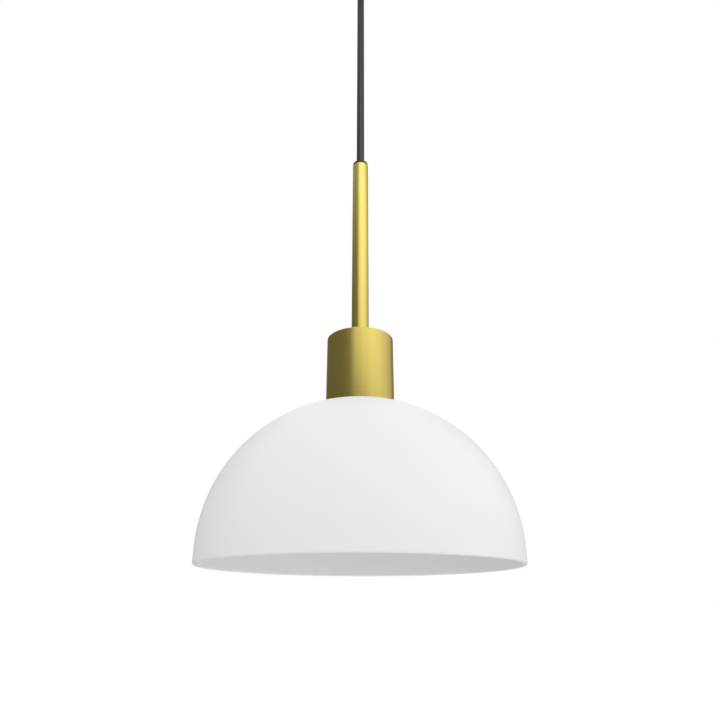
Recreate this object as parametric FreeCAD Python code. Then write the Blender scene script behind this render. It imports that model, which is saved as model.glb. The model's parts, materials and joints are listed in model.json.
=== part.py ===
"""A pendant ceiling light: an opal glass dome under a brass lampholder cup, on a brass stem that hangs
from a ceiling canopy by one round black cable.

Millimetres, +Z up. The origin is the middle of the mounting bracket's top face, on the ceiling, and the
lamp hangs below it. Every level is worked out downwards from the ceiling, so that a changed size moves
what hangs under it. Threads are plain cylinders at their major diameter.
"""
import math
import os

import FreeCAD
import Part

Vec = FreeCAD.Vector
Y_AXIS = Vec(0, 1, 0)
Z_AXIS = Vec(0, 0, 1)

# ---------------------------------------------------------------- clearances
thread_gap = 0.05        # between a male thread's cylinder and the hole that it screws into
slip_gap = 0.15          # round a piece that drops into a hole
seat_gap = 0.05          # between a wall and what is pushed into it
crimp_gap = 0.02         # round the cable where it is held
swing_gap = 0.35         # round the cable where it swings

# ---------------------------------------------------------------- cable and its two swivelling ends
cable_d = 6.5            # round two-core cable
core_d = 2.2             # one insulated core
core_spacing = 2.7       # between the two cores, inside the sheath
free_cable = 262.0       # the cable that shows, between its two bending points
swing_angle = 20.0       # how far the cable can lean in either mouth, degrees

# ---------------------------------------------------------------- screws, nuts and washers
nut_flats = 14.0
nut_t = 3.0
washer_d = 17.0
washer_t = 0.8
washer_teeth = 12
driver_slot_w = 0.5      # slots in the screws' heads
driver_slot_depth = 0.7

# ---------------------------------------------------------------- lampholder, measured up from its mouth
screw_shell_d = 26.6     # inside, at the lamp thread's root
screw_shell_t = 0.3
screw_shell_length = 20.0
mouth_lip = 1.5
mouth_gap = 0.6          # the mouth is this much wider than the screw shell, on the radius
ledge_t = 3.5
core_margin = 2.9        # the contact disc's rim outside the screw shell
core_disc_t = 8.0
spigot_wall = 2.0
spigot_rise = 3.0        # above the contact disc
cap_wall = 1.6
cap_overlap = 8.0
cap_straight = 14.0
cap_shoulder = 8.0
cap_round = 3.0
boss_d = 16.0
boss_h = 8.0
boss_ledge = 1.0         # wall over the cap's hollow, at the boss
thread_step = 0.3        # the ring's thread is this much smaller than the body, on the radius
lock_screw_d = 3.0
lock_screw_out = 0.6
contact_boss_d = 16.0    # insulating boss that guides the centre contact
contact_boss_h = 1.8
strap_t = 0.6
strap_w = 5.0
strap_reach = 4.5        # the neutral strap's leg beside the screw shell
terminal_size = 6.0
terminal_inset = 7.2     # from the contact disc's rim
terminal_floor = 1.5     # under the hole for the core
terminal_screw_d = 2.8
terminal_head_d = 4.0
terminal_head_t = 1.6
core_screw_d = 2.5
core_screw_head_d = 4.4
core_screw_head_t = 1.5
core_screw_inset = 3.2   # from the contact disc's rim
sheath_short = 1.5       # the cable's sheath ends this far above the nipple's end, inside it

# ---------------------------------------------------------------- centre contact
contact_d = 4.0
contact_round = 0.9
contact_flange_d = 6.2
contact_flange_t = 1.2
contact_peg_d = 2.4
contact_peg_h = 1.2
contact_reach = 1.8      # how far the tip stands out of its boss
contact_seat = 0.1       # between the flange and the guide's floor
guide_floor = 2.0        # wall under the spring chamber
spring_wire_d = 0.45
spring_turns = 4
spring_gap = 0.05        # at each end of the spring

# ---------------------------------------------------------------- cup, nipple and stem
cup_room = 3.25          # between the lampholder and the cup, on the radius
cup_wall = 1.2
cup_height = 53.0
cup_round = 0.8
thread_d = 10.0          # M10 x 1 lamp thread
nipple_bore_d = 8.0
nipple_grip = 10.0       # thread engaged in the stem
stem_d = 13.0
stem_bore_d = 9.0
stem_length = 162.4
stem_tap_depth = 12.0
stem_edge = 0.4

# ---------------------------------------------------------------- gland on the stem's top
gland_step = 0.3         # the flange is this much smaller than the stem, on the radius
gland_flange_h = 2.6
gland_round = 0.6
gland_spigot = 9.0
lower_flare = 2.5        # depth of the bending point below the gland's mouth

# ---------------------------------------------------------------- shade ring
ring_h = 10.0
ring_gap = 0.1
ring_wall = 2.8
ring_lap = 4.5           # the flange under the glass, outside the hole in it
ring_flange_t = 2.5
ring_round = 0.8
ring_ribs = 36
ring_rib_r = 0.7
skirt_below_ring = 0.6

# ---------------------------------------------------------------- glass shade
shade_d = 210.0
glass_t = 3.0
shade_skirt = 9.2        # straight part above the rim
lower_arc_r = 99.0       # the dome's outline is three tangent arcs
lower_arc_end = 53.8     # degrees above the horizontal
middle_arc_r = 145.0
middle_arc_end = 57.7
crown_centre = 8.76      # the crown arc's centre stands this far from the axis
hole_gap = 1.0           # between the lampholder and the hole in the glass
seat_margin = 0.85       # the flat seat runs this far outside the cup and the ring's flange
seat_blend = 0.8         # how far the rounding between seat and dome reaches into the seat
rim_round = 1.1          # rounding of the rim's two edges
gasket_t = 1.0
gasket_inset = 0.4       # of a gasket's edge inside the edge that it lies on
upper_gasket_w = 1.9

# ---------------------------------------------------------------- canopy and bracket
canopy_d = 100.0
canopy_height = 25.0
canopy_wall = 1.0
canopy_round = 1.5
canopy_inner_round = 0.8
canopy_gap = 0.5         # to the ceiling
bracket_t = 1.5
bracket_w = 18.0
bracket_bend = 1.2
bracket_to_canopy = 2.5  # between an ear and the canopy's inside, on the bracket's middle line
ear_lift = 4.5           # between an ear's end and the canopy's floor
ceiling_screw_spacing = 60.0
slot_w = 4.5
slot_length = 10.0
side_screw_height = 13.5  # above the canopy's underside
side_screw_d = 4.0
side_head_d = 9.0
side_head_t = 5.0
side_head_gap = 0.1
side_head_flutes = 18
side_flute_r = 0.35
side_nut_d = 7.0
side_nut_gap = 0.5       # between a side nut and an ear

# ---------------------------------------------------------------- cord grip under the canopy
grip_wall = 1.65
grip_height = 18.0
grip_round = 0.8
grip_insert_wall = 2.7
grip_insert_length = 15.0
upper_flare = 3.0        # depth of the bending point above the insert's mouth
grip_stub = 7.0          # threaded stub above the canopy's floor
grip_screw_d = 3.0
grip_screw_height = 10.5
grip_screw_tip = 0.9     # between the screw's tip and the cable
grip_screw_sink = 0.3
tail_above_stub = 3.0

# ---------------------------------------------------------------- terminal block in the canopy
pole_pitch = 8.0
block_length = 17.0
block_h = 12.0
block_waist_h = 9.6
bridge_w = 2.0
bridge_h = 6.0
block_start = 18.0       # from the lamp's axis
wire_hole_height = 5.0
insert_d = 5.2
insert_bore_d = 3.2
insert_inset = 0.6
block_screw_d = 2.6
block_screw_inset = 4.5
block_screw_room = 0.35
block_screw_out = 2.2    # above its insert
clamp_gap = 0.1          # between a screw's tip and the core that it holds
canopy_core_rise = 5.5
canopy_core_past = 2.0   # past the first screw

# ---------------------------------------------------------------- radii worked out from the sizes
cable_r = cable_d / 2
thread_r = thread_d / 2
thread_hole_r = thread_r + thread_gap
screw_shell_r = screw_shell_d / 2
core_disc_r = screw_shell_r + core_margin
spigot_r = core_disc_r + slip_gap + spigot_wall
body_r = spigot_r + seat_gap + cap_wall
skirt_r = body_r - thread_step
cup_r = body_r + cup_room + cup_wall
shade_hole_r = body_r + hole_gap
ring_body_r = skirt_r + ring_wall
ring_flange_r = shade_hole_r + ring_lap
seat_r = max(cup_r, ring_flange_r) + seat_margin
shade_r = shade_d / 2
canopy_r = canopy_d / 2
ear_x = canopy_r - canopy_wall - bracket_to_canopy
grip_insert_r = cable_r + grip_insert_wall
grip_r = grip_insert_r + seat_gap + grip_wall
strap_x = screw_shell_r + screw_shell_t + slip_gap + strap_t
terminal_x = core_disc_r - terminal_inset
core_screw_y = core_disc_r - core_screw_inset
lean = math.tan(math.radians(swing_angle))
swing_r = cable_r / math.cos(math.radians(swing_angle)) + swing_gap

# ---------------------------------------------------------------- levels worked out from the ceiling down
canopy_top = -canopy_gap
canopy_under = canopy_top - canopy_height
canopy_floor = canopy_under + canopy_wall
ear_bottom = canopy_floor + ear_lift
side_screw_z = canopy_under + side_screw_height
wire_hole_z = canopy_floor + wire_hole_height
stub_top = canopy_floor + grip_stub
grip_bottom = canopy_under - grip_height
grip_screw_z = grip_bottom + grip_screw_height
upper_pivot = grip_bottom + upper_flare
lower_pivot = upper_pivot - free_cable
gland_top = lower_pivot + lower_flare
stem_top = gland_top - gland_flange_h
spigot_end = stem_top - gland_spigot
cup_top = stem_top - stem_length
cup_bottom = cup_top - cup_height
crown = cup_bottom - gasket_t
ring_top = crown - glass_t - gasket_t
ring_bottom = ring_top - ring_h
mouth = ring_bottom - skirt_below_ring
shell_start = mouth + mouth_lip
shell_end = shell_start + screw_shell_length
core_floor = shell_end + ledge_t
core_top = core_floor + core_disc_t
strap_top = core_top + strap_t
spigot_top = core_top + spigot_rise
cap_bottom = spigot_top - cap_overlap
cap_shoulder_z = cap_bottom + cap_straight
boss_start = cap_shoulder_z + cap_shoulder
boss_top = boss_start + boss_h
lock_screw_z = boss_start + boss_h / 2
nipple_bottom = boss_start
sheath_end = nipple_bottom - sheath_short
flange_bottom = core_floor + guide_floor + contact_seat
flange_top = flange_bottom + contact_flange_t


# ---------------------------------------------------------------- building blocks
def cylinder(radius, z0, z1, x=0.0, y=0.0):
    return Part.makeCylinder(radius, z1 - z0, Vec(x, y, z0), Z_AXIS)


def tube(outer_r, inner_r, z0, z1):
    return cylinder(outer_r, z0, z1).cut(cylinder(inner_r, z0, z1))


def rod(radius, start, end):
    start, end = Vec(*start), Vec(*end)
    return Part.makeCylinder(radius, (end - start).Length, start, end - start)


def block(x0, x1, y0, y1, z0, z1):
    return Part.makeBox(x1 - x0, y1 - y0, z1 - z0, Vec(x0, y0, z0))


def turned(points):
    """A solid of revolution about Z from (radius, z) corners."""
    corners = [Vec(r, 0, z) for r, z in points]
    face = Part.Face(Part.makePolygon(corners + corners[:1]))
    return face.revolve(Vec(0, 0, 0), Z_AXIS, 360)


def round_edges(shape, radius, at_z, at_r):
    """Rounds the circular edges at a level and a radius about Z."""
    edges = [
        e for e in shape.Edges
        if isinstance(e.Curve, Part.Circle)
        and abs(e.Curve.Radius - at_r) < 1e-3 and abs(e.Curve.Center.z - at_z) < 1e-3
    ]
    return shape.makeFillet(radius, edges)


def hex_nut(z0, hole_r):
    corner_r = nut_flats / math.sqrt(3)
    corners = [
        Vec(corner_r * math.cos(math.radians(60 * k)), corner_r * math.sin(math.radians(60 * k)), z0)
        for k in range(7)
    ]
    prism = Part.Face(Part.makePolygon(corners)).extrude(Vec(0, 0, nut_t))
    bevel = (corner_r - nut_flats / 2) / 2
    envelope = turned([
        (0, z0), (corner_r - bevel, z0), (corner_r, z0 + bevel),
        (corner_r, z0 + nut_t - bevel), (corner_r - bevel, z0 + nut_t), (0, z0 + nut_t),
    ])
    return prism.common(envelope).cut(cylinder(hole_r, z0, z0 + nut_t))


def star_washer(z0, hole_r):
    washer = tube(washer_d / 2, hole_r, z0, z0 + washer_t)
    notch_r = washer_d / washer_teeth
    for k in range(washer_teeth):
        angle = math.radians(360 * k / washer_teeth)
        x, y = washer_d / 2 * math.cos(angle), washer_d / 2 * math.sin(angle)
        washer = washer.cut(cylinder(notch_r, z0, z0 + washer_t, x, y))
    return washer


def bent_rod(radius, points):
    """A round rod along straight runs that are joined by tangent arcs."""
    points = [Vec(*p) for p in points]
    edges, start = [], points[0]
    for before, corner, after in zip(points, points[1:], points[2:]):
        into, out = corner - before, after - corner
        turn = into.getAngle(out)
        bend_r = 0.45 * min(into.Length, out.Length) / math.tan(turn / 2)
        back = bend_r * math.tan(turn / 2)
        into.normalize()
        out.normalize()
        first, last = corner - into * back, corner + out * back
        inward = (out - into).normalize()
        middle = corner + inward * (bend_r / math.cos(turn / 2) - bend_r)
        edges.append(Part.LineSegment(start, first).toShape())
        edges.append(Part.Arc(first, middle, last).toShape())
        start = last
    edges.append(Part.LineSegment(start, points[-1]).toShape())
    path = Part.Wire(edges)
    section = Part.Wire(Part.Circle(points[0], points[1] - points[0], radius).toShape())
    return path.makePipeShell([section], True, False)


def flared_bore(pivot, mouth_z):
    """The hole round a cable that leans about pivot: a cone to the mouth and a room for the ball end."""
    depth = abs(mouth_z - pivot)
    way = 1 if mouth_z > pivot else -1
    cone = Part.makeCone(swing_r, swing_r + lean * depth, depth, Vec(0, 0, pivot), Vec(0, 0, way))
    inner = pivot - way * swing_r
    room = cylinder(swing_r, min(pivot, inner), max(pivot, inner))
    return cone.fuse(room)


# ---------------------------------------------------------------- glass shade
def dome_arcs(inset):
    """Centres, radii and end angles of the dome's arcs, inset into the glass. r and z from the rim."""
    lower_end, middle_end = math.radians(lower_arc_end), math.radians(middle_arc_end)
    c1 = (shade_r - lower_arc_r, shade_skirt)
    c2 = (c1[0] + (lower_arc_r - middle_arc_r) * math.cos(lower_end),
          c1[1] + (lower_arc_r - middle_arc_r) * math.sin(lower_end))
    crown_arc_r = middle_arc_r - (crown_centre - c2[0]) / math.cos(middle_end)
    c3 = (crown_centre, c2[1] + (middle_arc_r - crown_arc_r) * math.sin(middle_end))
    return [
        (c1, lower_arc_r - inset, 0.0, lower_end),
        (c2, middle_arc_r - inset, lower_end, middle_end),
        (c3, crown_arc_r - inset, middle_end, math.pi / 2),
    ]


def seat_height():
    """Height of the flat seat above the rim, where the crown's arc passes the seat's radius."""
    centre, radius, _, _ = dome_arcs(0.0)[2]
    return centre[1] + math.sqrt(radius ** 2 - (seat_r - centre[0]) ** 2)


rim = crown - seat_height()


def dome_solid(inset, bottom):
    """The solid under the dome's outline, cut flat at the seat."""
    arcs = dome_arcs(inset)
    top = seat_height() - inset
    centre, radius, start, _ = arcs[2]
    arcs[2] = (centre, radius, start, math.asin((top - centre[1]) / radius))

    def at(arc, angle):
        (cr, cz), radius, _, _ = arc
        return Vec(cr + radius * math.cos(angle), 0, rim + cz + radius * math.sin(angle))

    edges = [Part.LineSegment(Vec(shade_r - inset, 0, bottom), at(arcs[0], 0)).toShape()]
    for arc in arcs:
        a, b = arc[2], arc[3]
        edges.append(Part.Arc(at(arc, a), at(arc, (a + b) / 2), at(arc, b)).toShape())
    shoulder = at(arcs[2], arcs[2][3])
    edges.append(Part.LineSegment(shoulder, Vec(0, 0, rim + top)).toShape())
    edges.append(Part.LineSegment(Vec(0, 0, rim + top), Vec(0, 0, bottom)).toShape())
    edges.append(Part.LineSegment(Vec(0, 0, bottom), Vec(shade_r - inset, 0, bottom)).toShape())
    solid = Part.Face(Part.Wire(edges)).revolve(Vec(0, 0, 0), Z_AXIS, 360)
    slope = math.pi / 2 - arcs[2][3]
    return round_edges(solid, seat_blend / math.tan(slope / 2), rim + top, shoulder.x)


def glass_shade():
    glass = dome_solid(0.0, rim).cut(dome_solid(glass_t, rim - glass_t))
    glass = glass.cut(cylinder(shade_hole_r, crown - 2 * glass_t, crown + glass_t))
    glass = round_edges(glass, rim_round, rim, shade_r)
    return round_edges(glass, rim_round, rim, shade_r - glass_t)


def upper_gasket():
    outer_r = cup_r - gasket_inset
    return tube(outer_r, outer_r - upper_gasket_w, crown, cup_bottom)


def lower_gasket():
    return tube(ring_flange_r - gasket_inset, shade_hole_r + gasket_inset, ring_top, ring_top + gasket_t)


def shade_ring():
    flange_z = ring_top - ring_flange_t
    ring = cylinder(ring_flange_r, flange_z, ring_top)
    ring = round_edges(ring, ring_round, flange_z, ring_flange_r)
    ring = ring.fuse(cylinder(ring_body_r, ring_bottom, flange_z))
    for k in range(ring_ribs):
        angle = math.radians(360 * k / ring_ribs)
        x, y = ring_body_r * math.cos(angle), ring_body_r * math.sin(angle)
        ring = ring.fuse(cylinder(ring_rib_r, ring_bottom, flange_z, x, y))
    return ring.cut(cylinder(skirt_r + ring_gap, ring_bottom, ring_top)).removeSplitter()


# ---------------------------------------------------------------- lampholder
def holder_shell():
    """The lower moulding: thread for the shade ring outside, screw shell inside, ledge under the disc."""
    skirt_top = crown + gasket_t
    shell = turned([
        (0, mouth), (skirt_r, mouth), (skirt_r, skirt_top), (body_r, skirt_top),
        (body_r, cap_bottom - seat_gap), (spigot_r, cap_bottom - seat_gap), (spigot_r, spigot_top),
        (0, spigot_top),
    ])
    shell = shell.cut(cylinder(screw_shell_r + mouth_gap, mouth, shell_start))
    shell = shell.cut(cylinder(screw_shell_r + screw_shell_t + seat_gap, shell_start, shell_end))
    shell = shell.cut(cylinder(contact_boss_d / 2 + slip_gap, shell_end, core_floor))
    shell = shell.cut(cylinder(core_disc_r + slip_gap, core_floor, spigot_top))
    for y in (-core_screw_y, core_screw_y):
        hole_end = core_screw_end() - slip_gap
        shell = shell.cut(cylinder(core_screw_d / 2 + thread_gap, hole_end, core_floor, 0, y))
    return shell.cut(strap_slot(shell_end - strap_reach - strap_t, core_floor))


def strap_slot(z0, z1):
    """Room for the neutral strap's leg, which springs against the outside of the screw shell."""
    half = strap_w / 2 + slip_gap
    return block(-strap_x - slip_gap, -screw_shell_r - screw_shell_t, -half, half, z0, z1)


def core_screw_end():
    """The disc's screws stop a little above the bottom of the shell's ledge."""
    return shell_end + ledge_t / 5


def screw_shell():
    return tube(screw_shell_r + screw_shell_t, screw_shell_r, shell_start, shell_end)


def holder_core():
    """The insulating disc that carries the contacts, with the boss round the centre contact."""
    disc = cylinder(core_disc_r, core_floor, core_top)
    disc = disc.fuse(cylinder(contact_boss_d / 2, core_floor - contact_boss_h, core_floor))
    disc = disc.cut(cylinder(contact_d / 2 + slip_gap, core_floor - contact_boss_h, core_top))
    disc = disc.cut(cylinder(contact_flange_d / 2 + slip_gap, core_floor + guide_floor, core_top))
    for y in (-core_screw_y, core_screw_y):
        disc = disc.cut(cylinder(core_screw_d / 2 + slip_gap, core_floor, core_top, 0, y))
    return disc.cut(strap_slot(core_floor, core_top))


def core_screws():
    screws = []
    for y in (-core_screw_y, core_screw_y):
        head_top = core_top + core_screw_head_t
        shank = cylinder(core_screw_d / 2, core_screw_end(), core_top, 0, y)
        head = cylinder(core_screw_head_d / 2, core_top, head_top, 0, y)
        slot = block(-core_screw_head_d, core_screw_head_d, y - driver_slot_w / 2, y + driver_slot_w / 2,
                     head_top - driver_slot_depth, head_top)
        screws.append(shank.fuse(head).cut(slot))
    return Part.makeCompound(screws)


def live_strap():
    reach = contact_flange_d / 2 + slip_gap
    return block(-reach, terminal_x + terminal_size / 2, -strap_w / 2, strap_w / 2, core_top, strap_top)


def neutral_strap():
    flat = block(-strap_x, -terminal_x + terminal_size / 2, -strap_w / 2, strap_w / 2, core_top, strap_top)
    leg = block(-strap_x, -strap_x + strap_t, -strap_w / 2, strap_w / 2, shell_end - strap_reach, core_top)
    return flat.fuse(leg).removeSplitter()


def holder_terminals():
    """Two brass blocks, each with a hole down for its core and a screw hole from outside."""
    half = terminal_size / 2
    top, level = strap_top + terminal_size, strap_top + half
    blocks = []
    for side in (-1, 1):
        x = side * terminal_x
        body = block(x - half, x + half, -half, half, strap_top, top)
        body = body.cut(cylinder(core_d / 2 + slip_gap, strap_top + terminal_floor, top, x))
        hole = rod(terminal_screw_d / 2 + thread_gap, (x, 0, level), (x + side * half, 0, level))
        blocks.append(body.cut(hole))
    return Part.makeCompound(blocks)


def holder_terminal_screws():
    level, half = strap_top + terminal_size / 2, terminal_size / 2
    screws = []
    for side in (-1, 1):
        tip = side * (terminal_x + core_d / 2 + clamp_gap)
        face = side * (terminal_x + half)
        end = side * (terminal_x + half + terminal_head_t)
        shank = rod(terminal_screw_d / 2, (tip, 0, level), (face, 0, level))
        head = rod(terminal_head_d / 2, (face, 0, level), (end, 0, level))
        slot_end = end - side * driver_slot_depth
        slot = block(min(end, slot_end), max(end, slot_end), -terminal_head_d, terminal_head_d,
                     level - driver_slot_w / 2, level + driver_slot_w / 2)
        screws.append(shank.fuse(head).cut(slot))
    return Part.makeCompound(screws)


def centre_contact():
    tip_z = core_floor - contact_boss_h - contact_reach
    pin = cylinder(contact_d / 2, tip_z, flange_bottom)
    pin = round_edges(pin, contact_round, tip_z, contact_d / 2)
    flange = cylinder(contact_flange_d / 2, flange_bottom, flange_top)
    peg = cylinder(contact_peg_d / 2, flange_top, flange_top + contact_peg_h)
    return pin.fuse(flange).fuse(peg).removeSplitter()


def contact_spring():
    """A coil spring between the contact's flange and the live strap, as half turns tilted to and fro.

    Every half turn ends square to Y, so that it runs smoothly into the next one.
    """
    wire_r = spring_wire_d / 2
    coil_r = contact_flange_d / 2 - wire_r - slip_gap
    start = flange_top + spring_gap + wire_r
    rise = (core_top - spring_gap - wire_r - start) / (2 * spring_turns)
    tilt = math.degrees(math.asin(rise / 2 / coil_r))
    halves = []
    for k in range(2 * spring_turns):
        half = Part.makeTorus(coil_r, wire_r, Vec(0, 0, 0), Z_AXIS, 0, 360, 180)
        half.rotate(Vec(0, 0, 0), Y_AXIS, tilt)
        half.rotate(Vec(0, 0, 0), Z_AXIS, 180 * (k % 2))
        half.translate(Vec(0, 0, start + (k + 0.5) * rise))
        halves.append(half)
    return halves[0].multiFuse(halves[1:]).removeSplitter()


def holder_cap():
    """The upper moulding, screwed over the shell's spigot, with the lamp thread in its boss."""
    inner_r = spigot_r + seat_gap
    cap = turned([
        (inner_r, cap_bottom), (body_r, cap_bottom), (body_r, cap_shoulder_z),
        (boss_d / 2, boss_start), (boss_d / 2, boss_top), (thread_hole_r, boss_top),
        (thread_hole_r, boss_start - boss_ledge), (inner_r, cap_shoulder_z - cap_wall),
    ])
    cap = round_edges(cap, cap_round, cap_shoulder_z, body_r)
    return cap.cut(rod(lock_screw_d / 2 + thread_gap, (0, 0, lock_screw_z), (boss_d, 0, lock_screw_z)))


def holder_lock_screw():
    """The grub screw that stops the cap from turning on the nipple."""
    half, face = driver_slot_w / 2, boss_d / 2 + lock_screw_out
    screw = rod(lock_screw_d / 2, (thread_r + crimp_gap, 0, lock_screw_z), (face, 0, lock_screw_z))
    return screw.cut(block(face - driver_slot_depth, face, -lock_screw_d, lock_screw_d,
                           lock_screw_z - half, lock_screw_z + half))


def holder_cores():
    """The two insulated cores from the end of the sheath down into the terminals."""
    drop = sheath_end - strap_top - terminal_size
    first, second = sheath_end - drop / 4, sheath_end - 2 * drop / 3
    end = strap_top + terminal_floor + clamp_gap
    cores = []
    for side in (-1, 1):
        near, far = side * core_spacing / 2, side * terminal_x
        cores.append(bent_rod(core_d / 2, [
            (near, 0, sheath_end), (near, 0, first), (far, 0, second), (far, 0, end),
        ]))
    return Part.makeCompound(cores)


# ---------------------------------------------------------------- cup, nipple and stem
def lampholder_cup():
    cup = cylinder(cup_r, cup_bottom, cup_top)
    cup = round_edges(cup, cup_round, cup_top, cup_r)
    cup = cup.cut(cylinder(cup_r - cup_wall, cup_bottom, cup_top - cup_wall))
    return cup.cut(cylinder(thread_r + slip_gap, cup_top - cup_wall, cup_top))


def cup_washer():
    return star_washer(cup_top - cup_wall - washer_t, thread_r + slip_gap)


def cup_locknut():
    return hex_nut(cup_top - cup_wall - washer_t - nut_t, thread_hole_r)


def threaded_nipple():
    """The hollow threaded rod that joins the stem, the cup and the lampholder's cap."""
    return tube(thread_r, nipple_bore_d / 2, nipple_bottom, cup_top + nipple_grip)


def stem_tube():
    stem = tube(stem_d / 2, stem_bore_d / 2, cup_top, stem_top)
    stem = stem.cut(cylinder(thread_hole_r, cup_top, cup_top + stem_tap_depth))
    stem = stem.cut(cylinder(thread_hole_r, stem_top - stem_tap_depth, stem_top))
    return round_edges(stem, min(stem_edge, (stem_d / 2 - thread_hole_r) / 2), stem_top, stem_d / 2)


def stem_gland():
    """The black end bush: it screws into the stem and its mouth opens round the cable."""
    flange_r = stem_d / 2 - gland_step
    gland = cylinder(flange_r, stem_top, gland_top)
    gland = round_edges(gland, gland_round, gland_top, flange_r)
    gland = gland.fuse(cylinder(thread_r, spigot_end, stem_top))
    gland = gland.cut(flared_bore(lower_pivot, gland_top))
    return gland.cut(cylinder(cable_r + slip_gap, spigot_end, gland_top)).removeSplitter()


def gland_sleeve():
    """The sleeve pressed on the cable under the gland, which carries the lamp's weight."""
    return tube(thread_r, cable_r + crimp_gap, stem_top - stem_tap_depth, spigot_end)


def stem_cable():
    return cylinder(cable_r, sheath_end, lower_pivot - cable_r - swing_gap)


# ---------------------------------------------------------------- the cable that shows
def suspension_cable():
    """The free cable, with a ball end at each bending point."""
    body = cylinder(cable_r, lower_pivot, upper_pivot)
    for level in (lower_pivot, upper_pivot):
        body = body.fuse(Part.makeSphere(cable_r, Vec(0, 0, level)))
    return body.removeSplitter()


# ---------------------------------------------------------------- cord grip and canopy
def cord_grip_body():
    grip = cylinder(grip_r, grip_bottom, canopy_under)
    grip = round_edges(grip, grip_round, grip_bottom, grip_r)
    grip = grip.fuse(cylinder(thread_r, canopy_under, stub_top))
    grip = grip.cut(cylinder(cable_r + slip_gap, grip_bottom, stub_top))
    grip = grip.cut(cylinder(grip_insert_r + seat_gap, grip_bottom, grip_bottom + grip_insert_length))
    hole = rod(grip_screw_d / 2 + thread_gap, (0, 0, grip_screw_z), (0, -grip_r - grip_wall, grip_screw_z))
    return grip.cut(hole).removeSplitter()


def cord_grip_insert():
    """The insulating bush round the cable, with a flared mouth and a hole for the grip's screw."""
    insert = tube(grip_insert_r, cable_r + crimp_gap, grip_bottom, grip_bottom + grip_insert_length)
    insert = insert.cut(flared_bore(upper_pivot, grip_bottom))
    start, end = -cable_r - grip_screw_tip + clamp_gap, -grip_r
    return insert.cut(rod(grip_screw_d / 2 + slip_gap, (0, start, grip_screw_z), (0, end, grip_screw_z)))


def cord_grip_screw():
    start, face = -cable_r - grip_screw_tip, -grip_r + grip_screw_sink
    screw = rod(grip_screw_d / 2, (0, start, grip_screw_z), (0, face, grip_screw_z))
    return screw.cut(block(-driver_slot_w / 2, driver_slot_w / 2, face, face + driver_slot_depth,
                           grip_screw_z - grip_screw_d, grip_screw_z + grip_screw_d))


def grip_washer():
    return star_washer(canopy_floor, thread_r + slip_gap)


def grip_locknut():
    return hex_nut(canopy_floor + washer_t, thread_hole_r)


def canopy_cable_tail():
    return cylinder(cable_r, upper_pivot + cable_r + swing_gap, stub_top + tail_above_stub)


def canopy_cup():
    cup = cylinder(canopy_r, canopy_under, canopy_top)
    cup = round_edges(cup, canopy_round, canopy_under, canopy_r)
    inner_r = canopy_r - canopy_wall
    inner = cylinder(inner_r, canopy_floor, canopy_top)
    cup = cup.cut(round_edges(inner, canopy_inner_round, canopy_floor, inner_r))
    cup = cup.cut(cylinder(thread_r + slip_gap, canopy_under, canopy_floor))
    start, end = (-canopy_d, 0, side_screw_z), (canopy_d, 0, side_screw_z)
    return cup.cut(rod(side_screw_d / 2 + slip_gap, start, end))


def canopy_side_nuts():
    """Two round nuts riveted inside the canopy's wall, shaped to it."""
    wall = cylinder(canopy_r - canopy_wall, canopy_floor, canopy_top)
    nuts = []
    for side in (-1, 1):
        start = (side * (ear_x + side_nut_gap), 0, side_screw_z)
        end = (side * canopy_r, 0, side_screw_z)
        nut = rod(side_nut_d / 2, start, end).cut(rod(side_screw_d / 2 + thread_gap, start, end))
        nuts.append(nut.common(wall))
    return Part.makeCompound(nuts)


def canopy_side_screws():
    """Two fluted thumb screws whose flat tips press on the bracket's ears."""
    head_r = side_head_d / 2
    screws = []
    for side in (-1, 1):
        tip, near = side * (ear_x + seat_gap), side * (canopy_r + side_head_gap)
        far = near + side * side_head_t
        shank = rod(side_screw_d / 2, (tip, 0, side_screw_z), (near, 0, side_screw_z))
        head = rod(head_r, (near, 0, side_screw_z), (far, 0, side_screw_z))
        for k in range(side_head_flutes):
            angle = math.radians(360 * k / side_head_flutes)
            y, z = head_r * math.cos(angle), side_screw_z + head_r * math.sin(angle)
            head = head.cut(rod(side_flute_r, (near, y, z), (far, y, z)))
        screws.append(shank.fuse(head).removeSplitter())
    return Part.makeCompound(screws)


def mounting_bracket():
    """A steel strap screwed to the ceiling, with an ear bent down at each end."""
    half = bracket_w / 2
    strap = block(-ear_x, ear_x, -half, half, ear_bottom, 0)
    inner = ear_x - bracket_t
    strap = strap.cut(block(-inner, inner, -half, half, ear_bottom, -bracket_t))
    bends = [e for e in strap.Edges
             if abs(e.CenterOfMass.z) < 1e-6 and abs(abs(e.CenterOfMass.x) - ear_x) < 1e-6]
    strap = strap.makeFillet(bracket_bend, bends)
    run = (slot_length - slot_w) / 2
    for x in (-ceiling_screw_spacing / 2, ceiling_screw_spacing / 2):
        strap = strap.cut(block(x - run, x + run, -slot_w / 2, slot_w / 2, -bracket_t, 0))
        for end in (x - run, x + run):
            strap = strap.cut(cylinder(slot_w / 2, -bracket_t, 0, end))
    return strap.removeSplitter()


# ---------------------------------------------------------------- terminal block and cores in the canopy
def pole_places():
    return (-pole_pitch / 2, pole_pitch / 2)


def screw_levels():
    """Where the two screws of a pole stand along it."""
    return (block_start + block_screw_inset, block_start + block_length - block_screw_inset)


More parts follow.
